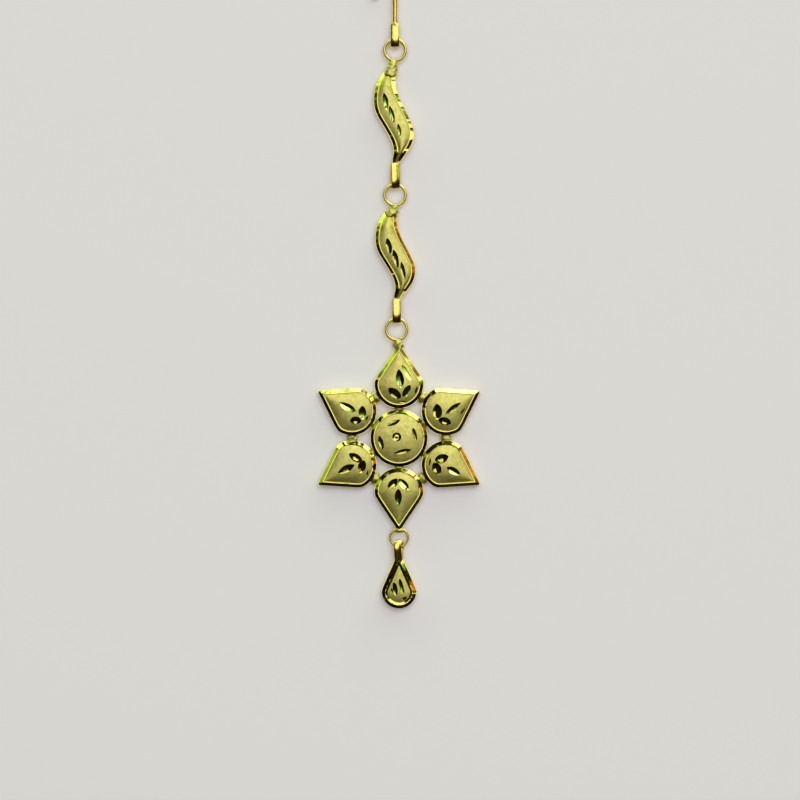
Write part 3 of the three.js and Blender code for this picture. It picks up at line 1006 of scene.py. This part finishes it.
class TikkaSolder(Operator):
    """Beads of solder between the petals and the disc"""

    bl_idname = "tikka.solder"
    bl_label = "Star solder"

    def execute(self, context):
        star = context.scene.tikka_star
        middle = star_middle()
        half_turn = math.pi / star.petal_count
        petal_gap = 2 * (star.petal_ring_radius * math.sin(half_turn) - star.petal_radius)
        petal_joint = star.petal_ring_radius * math.cos(half_turn)
        disc_gap = star.petal_ring_radius - star.petal_radius - star.disc_radius
        disc_joint = star.disc_radius + disc_gap / 2
        bead_height = 0.85 * star.solder_height
        level = star.solder_height + 0.02 * MM
        bm = bmesh.new()
        for i in range(star.petal_count):
            angle = math.pi / 2 + 2 * half_turn * i
            joints = [
                (disc_joint, angle, disc_gap / 2 + star.disc_hold, star.disc_bead),
                (petal_joint, angle + half_turn, petal_gap / 2 + star.petal_hold, star.petal_bead),
            ]
            for distance, towards, wide, deep in joints:
                out = Vector((math.cos(towards), math.sin(towards), 0)) * distance
                place = Vector((middle.x, middle.y, level)) + out
                along = towards - math.pi / 2
                seed = i + distance / MM
                blob(bm, place, (wide, deep, bead_height), seed, roughen=0.25, turn=along)
        piece = new_object("star_solder", bm)
        melt(piece, SATIN)
        finish_piece(piece, "star_pendant", sharp_degrees=60)
        return {"FINISHED"}


class TikkaRings(Operator):
    """Jump rings on the star and the links, with the solder that holds them"""

    bl_idname = "tikka.rings"
    bl_label = "Rings"

    def execute(self, context):
        wires, star = context.scene.tikka_wires, context.scene.tikka_star
        links = context.scene.tikka_links
        middle = star_middle()
        tip_reach = star.petal_ring_radius + star.petal_reach
        star_low, star_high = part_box("star_pendant")
        lower_low, lower_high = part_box("lower_wave_link")
        upper_low, upper_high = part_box("upper_wave_link")
        hook_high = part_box("hair_hook")[1]
        star_x = lower_low.x + WAVE_TIP * links.width
        lower_x = upper_low.x + WAVE_TIP * links.width
        upper_x = hook_high.x - wires.strip_width / 2
        top_shift = (WAVE_TIP - WAVE_TOP) * links.width
        bail_end = wires.ring_wire + wires.bail_clearance + wires.strip_thickness
        lower_top = lower_low.y + bail_end + links.lower_reach + links.lower_length
        upper_top = upper_low.y + bail_end + links.upper_reach + links.upper_length
        lower_neck_x = (star_x - top_shift + lower_x) / 2
        upper_neck_x = (lower_x - top_shift + upper_x) / 2
        rings = [
            ("star_ring", "star_pendant", star_x, star_high.y, middle.y + tip_reach, star_x / 2, 0),
            ("lower_ring", "lower_wave_link", lower_x, lower_high.y, lower_top, lower_neck_x, 1),
            ("upper_ring", "upper_wave_link", upper_x, upper_high.y, upper_top, upper_neck_x, 1),
        ]
        radius, wire = wires.ring_radius, wires.ring_wire
        for seed, (name, node, x, top, plate_end, neck_x, spread) in enumerate(rings):
            y = top - wire - radius
            self.ring(name, node, radius, wire, x, y, wires, seed)
            ends = (y - radius, plate_end)
            self.neck(name, node, neck_x, ends, wires, wires.neck_lump, spread, seed)
        radius, wire = wires.drop_ring_radius, wires.drop_ring_wire
        name, node, x, y = "drop_ring", "star_pendant", middle.x, star_low.y + wire + radius
        seed = 5
        self.ring(name, node, radius, wire, x, y, wires, seed)
        ends = (y + radius, middle.y - tip_reach)
        self.neck(name, node, x, ends, wires, wires.drop_neck_lump, 0, seed)
        return {"FINISHED"}

    def ring(self, name, node, radius, wire, x, y, wires, seed):
        bm = wire_ring(radius, wire, x, y, wires.level, seed)
        in_gold(bm, DRAWN)
        finish_piece(new_object(name, bm), node, sharp_degrees=60)

    def neck(self, name, node, x, ends, wires, half_long, spread, seed):
        """Lumps of solder between two ends, a ring's wire and its plate's edge.

        With a spread of 1 they run onto the plate, grow and turn left, and with 0 they don't.
        """
        ring_y, plate_y = ends
        towards = math.copysign(1, plate_y - ring_y)
        onto_plate = 0.5 * spread * MM
        spacing = 0.3 * MM
        at_ring, growth = 0.8, 0.25 + 0.25 * spread
        leftwards, wander = 0.35 * MM * spread, 0.08 * MM
        thickening = 0.06 * MM * spread
        start = ring_y + towards * (half_long - wires.ring_wire)
        end = plate_y + towards * onto_plate
        count = max(3, math.ceil(abs(end - start) / spacing))
        bm = bmesh.new()
        for i in range(count):
            part = i / (count - 1)
            half_width = wires.neck_width / 2 * (at_ring + growth * part)
            lean = wander * noise.noise(Vector((seed * 5.3, i * 0.7, 0))) - leftwards * part
            size = (half_width, half_long, wires.neck_thickness / 2 + thickening * part)
            place = Vector((x + lean, start + (end - start) * part, wires.level))
            blob(bm, place, size, seed + i, roughen=0.2)
        piece = new_object(name + "_solder", bm)
        melt(piece, SATIN)
        finish_piece(piece, node, sharp_degrees=60)


class TikkaWaves(Operator):
    """The two wave plates with their cuts"""

    bl_idname = "tikka.waves"
    bl_label = "Waves"

    def execute(self, context):
        scene = context.scene
        rim, links, wires = scene.tikka_rim, scene.tikka_links, scene.tikka_wires
        bail_end = wires.ring_wire + wires.bail_clearance + wires.strip_thickness
        waves = [
            ("lower_wave", links.lower_length, links.lower_reach, LOWER_CUTS, 0, 21),
            ("upper_wave", links.upper_length, links.upper_reach, UPPER_CUTS, links.upper_lift, 31),
        ]
        for name, long, reach, cuts, right_lift, seed in waves:
            node = name + "_link"
            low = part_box(node)[0]
            place = (low.x + WAVE_TIP * links.width, low.y + bail_end + reach)
            bm = wave_plate(long, links.width, *place, rim, right_lift, seed)
            cutters = wave_cutters(cuts, long, links.width, *place, rim)
            piece = new_object(name, bm)
            carve(piece, cutters)
            finish_piece(piece, node, sharp_degrees=14)
        return {"FINISHED"}


class TikkaBails(Operator):
    """Strip bails round the rings"""

    bl_idname = "tikka.bails"
    bl_label = "Bails"

    def execute(self, context):
        wires, links = context.scene.tikka_wires, context.scene.tikka_links
        overlap = wires.bail_overlap
        outer = wires.bail_clearance + wires.strip_thickness
        lower_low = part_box("lower_wave_link")[0]
        upper_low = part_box("upper_wave_link")[0]
        hook_low, hook_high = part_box("hair_hook")
        drop_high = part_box("drop")[1]
        tip_x = WAVE_TIP * links.width
        wide, wire = wires.strip_width, wires.ring_wire
        hook_slack, drop_slack = wires.hook_slack, wires.drop_slack
        drop_wide, drop_wire = wires.drop_strip_width, wires.drop_ring_wire
        up, down = 1, -1
        # Name and node, then x and y, then wire, width, reach, slack, twist, skew and side
        bails = [
            (
                ("lower_bail", "lower_wave_link"),
                (lower_low.x + tip_x, lower_low.y + wire + outer),
                (wire, wide, links.lower_reach + overlap, 0, 4, 0, up),
            ),
            (
                ("upper_bail", "upper_wave_link"),
                (upper_low.x + tip_x, upper_low.y + wire + outer),
                (wire, wide, links.upper_reach + overlap, 0, 14, 0, up),
            ),
            (
                ("hook_bail", "hair_hook"),
                (hook_high.x - wide / 2, hook_low.y + wire + outer + hook_slack),
                (wire, wide, wires.hook_reach, hook_slack, 0, 0, up),
            ),
            (
                ("drop_bail", "drop"),
                (star_middle().x, drop_high.y - drop_wire - outer - drop_slack),
                (drop_wire, drop_wide, wires.drop_reach + overlap, drop_slack, 8, -0.6, down),
            ),
        ]
        for (name, node), place, form in bails:
            bm = bail(wires, *place, *form)
            in_gold(bm, DRAWN)
            piece = new_object(name, bm)
            thicken(piece, wires.strip_thickness)
            finish_piece(piece, node, sharp_degrees=40)
        return {"FINISHED"}


class TikkaDrop(Operator):
    """The teardrop below the star"""

    bl_idname = "tikka.drop"
    bl_label = "Drop"

    def execute(self, context):
        rim, drop = context.scene.tikka_rim, context.scene.tikka_drop
        outline = partial(teardrop_outline, drop.radius, drop.reach, drop.tip, drop.shoulder)
        slope_width, rise = drop.slope_width, 0.4 * rim.dome_rise
        whole = range(len(outline(0)))
        bm = domed_plate(outline, whole, rim, slope_width, rise, seed=41)
        cutters = face_cutters(DROP_CUTS, drop.radius, rim, slope_width, rise, BLUNT_ENDS)
        middle_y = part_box("drop")[0].y + drop.radius
        for part in [bm, *cutters]:
            place_bmesh(part, star_middle().x, middle_y)
        piece = new_object("drop_plate", bm)
        carve(piece, cutters)
        finish_piece(piece, "drop", sharp_degrees=12)
        return {"FINISHED"}


class TikkaHook(Operator):
    """The plain wire hook that goes into the hair"""

    bl_idname = "tikka.hook"
    bl_label = "Hair hook"

    def execute(self, context):
        wires = context.scene.tikka_wires
        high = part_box("hair_hook")[1]
        radius, bend = wires.hook_wire, wires.hook_bend
        shank_x = high.x - wires.strip_width / 2
        bend_y = high.y - radius - bend
        start_y = bend_y - wires.hook_shank
        bm = bmesh.new()
        section = bmesh.ops.create_circle(bm, cap_ends=True, segments=20, radius=radius)["verts"]
        facing = Matrix.Rotation(math.pi / 2, 4, "X")
        start = Matrix.Translation((shank_x, start_y, wires.level))
        bmesh.ops.transform(bm, matrix=start @ facing, verts=section)
        end = lengthen(bm, next(iter(bm.faces)), (0, wires.hook_shank, 0))
        spun = bmesh.ops.spin(
            bm,
            geom=[end, *end.edges, *end.verts],
            axis=UP,
            cent=(shank_x - bend, bend_y, wires.level),
            angle=math.pi,
            steps=28,
        )["geom_last"]
        end = next(f for f in spun if isinstance(f, bmesh.types.BMFace))
        lengthen(bm, end, (0, -wires.hook_return, 0))
        sways_per_metre, sway = 300, 0.04 * MM
        for vert in bm.verts:
            drift = noise.noise(vert.co * sways_per_metre + Vector((3, 0, 0)))
            vert.co += Vector((drift, 0, 0)) * sway
        tip = bmesh.ops.create_uvsphere(bm, u_segments=24, v_segments=12, radius=wires.hook_tip)
        tip_place = (shank_x - 2 * bend, bend_y - wires.hook_return, wires.level)
        bmesh.ops.translate(bm, vec=tip_place, verts=tip["verts"])
        bead = (0.42 * MM, 0.5 * MM, 0.4 * MM)
        blob(bm, Vector((shank_x, start_y + 0.1 * MM, wires.level)), bead, seed=7)
        in_gold(bm, DRAWN)
        bmesh.ops.recalc_face_normals(bm, faces=bm.faces)
        finish_piece(new_object("hook_wire", bm), "hair_hook", sharp_degrees=50)
        return {"FINISHED"}


class TikkaStage(Operator):
    """Pale floor, soft studio light and the camera straight above"""

    bl_idname = "tikka.stage"
    bl_label = "Stage"

    def execute(self, context):
        self.floor(context)
        self.world(context)
        self.light(context, "soft_box", (0.05, 0.23, 0.71), size=0.76, energy=1.8)
        fill = self.light(context, "floor_fill", (0, 0, 0.9), size=1.5, energy=5)
        fill.visible_glossy = False
        self.camera(context)
        context.scene.view_settings.view_transform = "Standard"
        return {"FINISHED"}

    def floor(self, context):
        finish = context.scene.tikka_finish
        bm = bmesh.new()
        bmesh.ops.create_grid(bm, x_segments=1, y_segments=1, size=3)
        mesh = bpy.data.meshes.new("floor")
        bm.to_mesh(mesh)
        bm.free()
        material = bpy.data.materials.new("floor")
        material.use_nodes = True
        principled = material.node_tree.nodes["Principled BSDF"]
        principled.inputs["Base Color"].default_value = (*finish.floor, 1)
        principled.inputs["Roughness"].default_value = 0.9
        mesh.materials.append(material)
        gap_below = 0.02 * MM
        floor = bpy.data.objects.new("floor", mesh)
        floor.location.z = -gap_below
        context.scene.collection.objects.link(floor)

    def light(self, context, name, place, size, energy):
        light = bpy.data.lights.new(name, "AREA")
        light.shape = "DISK"
        light.size = size
        light.energy = energy
        light.color = (1, 0.985, 0.96)
        lamp = bpy.data.objects.new(name, light)
        lamp.location = place
        aim = star_middle() - Vector(place)
        lamp.rotation_euler = aim.to_track_quat("-Z", "Y").to_euler()
        context.scene.collection.objects.link(lamp)
        return lamp

    def world(self, context):
        """A dark room with a bright wall beyond the jewel's top and a window to its upper right."""
        world = bpy.data.worlds.new("studio")
        world.use_nodes = True
        nodes, links = world.node_tree.nodes, world.node_tree.links
        place = nodes.new("ShaderNodeTexCoord")
        way = place.outputs["Generated"]
        split = nodes.new("ShaderNodeSeparateXYZ")
        links.new(way, split.inputs["Vector"])
        low = self.walls(nodes, links, way, split)
        high = self.window(nodes, links, way)
        height = nodes.new("ShaderNodeMapRange")
        height.inputs["From Min"].default_value = WALL_TOP
        height.inputs["From Max"].default_value = WINDOW_FOOT
        links.new(split.outputs["Z"], height.inputs["Value"])
        room = self.mix(nodes, links, low, high)
        links.new(height.outputs["Result"], room.inputs["Factor"])
        beam = self.ramp(nodes, links, split.outputs["Z"], BEAM)
        room = self.mix(nodes, links, room, beam, "MULTIPLY")
        links.new(self.colour_of(room), nodes["Background"].inputs["Color"])
        context.scene.world = world

    def walls(self, nodes, links, way, split):
        """The low part of the room: its far wall, coloured from side to side, with bright spots."""
        far = self.ramp(nodes, links, split.outputs["Y"], FAR_WALL)
        sides = self.ramp(nodes, links, split.outputs["X"], SIDE_WALLS)
        spots = nodes.new("ShaderNodeTexNoise")
        spots.inputs["Scale"].default_value = 3.5
        links.new(way, spots.inputs["Vector"])
        bright = self.ramp(nodes, links, spots.outputs["Fac"], SPOTS)
        walls = self.mix(nodes, links, far, sides, "MULTIPLY")
        return self.mix(nodes, links, walls, bright, "MULTIPLY")

    def window(self, nodes, links, way):
        """The high part of the room, dark apart from a window towards WINDOW_WAY."""
        towards = nodes.new("ShaderNodeVectorMath")
        towards.operation = "DOT_PRODUCT"
        towards.inputs[1].default_value = WINDOW_WAY
        links.new(way, towards.inputs[0])
        return self.ramp(nodes, links, towards.outputs["Value"], WINDOW)

    def colour_of(self, node):
        """The colour output of a ramp or a colour mix, which has an unused one for each other type."""
        return next(o for o in node.outputs if o.name in ("Color", "Result") and o.enabled)

    def mix(self, nodes, links, first, second, blend="MIX"):
        """A full mix of two nodes' colours."""
        mix = nodes.new("ShaderNodeMix")
        mix.data_type = "RGBA"
        mix.blend_type = blend
        mix.inputs["Factor"].default_value = 1
        colours = [socket for socket in mix.inputs if socket.enabled and socket.name in "AB"]
        for node, socket in zip((first, second), colours):
            links.new(self.colour_of(node), socket)
        return mix

    def ramp(self, nodes, links, value, stops):
        """A colour ramp over a direction's part from -1 to 1."""
        spread = nodes.new("ShaderNodeMapRange")
        spread.inputs["From Min"].default_value = -1
        spread.inputs["From Max"].default_value = 1
        links.new(value, spread.inputs["Value"])
        ramp = nodes.new("ShaderNodeValToRGB")
        elements = ramp.color_ramp.elements
        while len(elements) < len(stops):
            elements.new(0.5)
        for element, (position, tone) in zip(elements, stops):
            element.position = position
            element.color = (*tone, 1)
        links.new(spread.outputs["Result"], ramp.inputs["Fac"])
        return ramp

    def camera(self, context):
        """Straight above, with the photograph's 800 pixels over 100 millimetres."""
        lens, sensor = 100, 36
        view_width = 100 * MM
        picture = 800
        pixel = view_width / picture
        star_pixel = (399, 438)
        middle = star_middle()
        face_height = 1.2 * MM
        camera = bpy.data.cameras.new("camera")
        camera.lens = lens
        camera.sensor_width = sensor
        camera.clip_start = 0.01
        eye = bpy.data.objects.new("camera", camera)
        x = middle.x + (picture / 2 - star_pixel[0]) * pixel
        y = middle.y + (star_pixel[1] - picture / 2) * pixel
        eye.location = (x, y, face_height + view_width * lens / sensor)
        context.scene.collection.objects.link(eye)
        context.scene.camera = eye


class TikkaPanel(Panel):
    """Lists the pieces in the sidebar"""

    bl_idname = "VIEW3D_PT_tikka"
    bl_label = "Maang Tikka"
    bl_space_type = "VIEW_3D"
    bl_region_type = "UI"
    bl_category = "Maang Tikka"

    def draw(self, context):
        layout = self.layout
        for group in SETTINGS:
            settings = getattr(context.scene, group)
            box = layout.box()
            for name in settings.bl_rna.properties.keys():
                if name not in ("rna_type", "name"):
                    box.prop(settings, name)
        for operator in OPERATORS:
            layout.operator(operator.bl_idname)


SETTINGS = {
    "tikka_rim": TikkaRimSizes,
    "tikka_star": TikkaStarSizes,
    "tikka_drop": TikkaDropSizes,
    "tikka_links": TikkaLinkSizes,
    "tikka_wires": TikkaWireSizes,
    "tikka_finish": TikkaFinishes,
}
OPERATORS = [
    TikkaPetals,
    TikkaDisc,
    TikkaSolder,
    TikkaRings,
    TikkaWaves,
    TikkaBails,
    TikkaDrop,
    TikkaHook,
    TikkaStage,
]


def register():
    for group in [*SETTINGS.values(), *OPERATORS, TikkaPanel]:
        bpy.utils.register_class(group)
    for name, group in SETTINGS.items():
        setattr(bpy.types.Scene, name, PointerProperty(type=group))


def unregister():
    for name in SETTINGS:
        delattr(bpy.types.Scene, name)
    for group in reversed([*SETTINGS.values(), *OPERATORS, TikkaPanel]):
        bpy.utils.unregister_class(group)


def main():
    register()
    for operator in OPERATORS:
        package, name = operator.bl_idname.split(".")
        getattr(getattr(bpy.ops, package), name)()


if __name__ == "__main__":
    main()
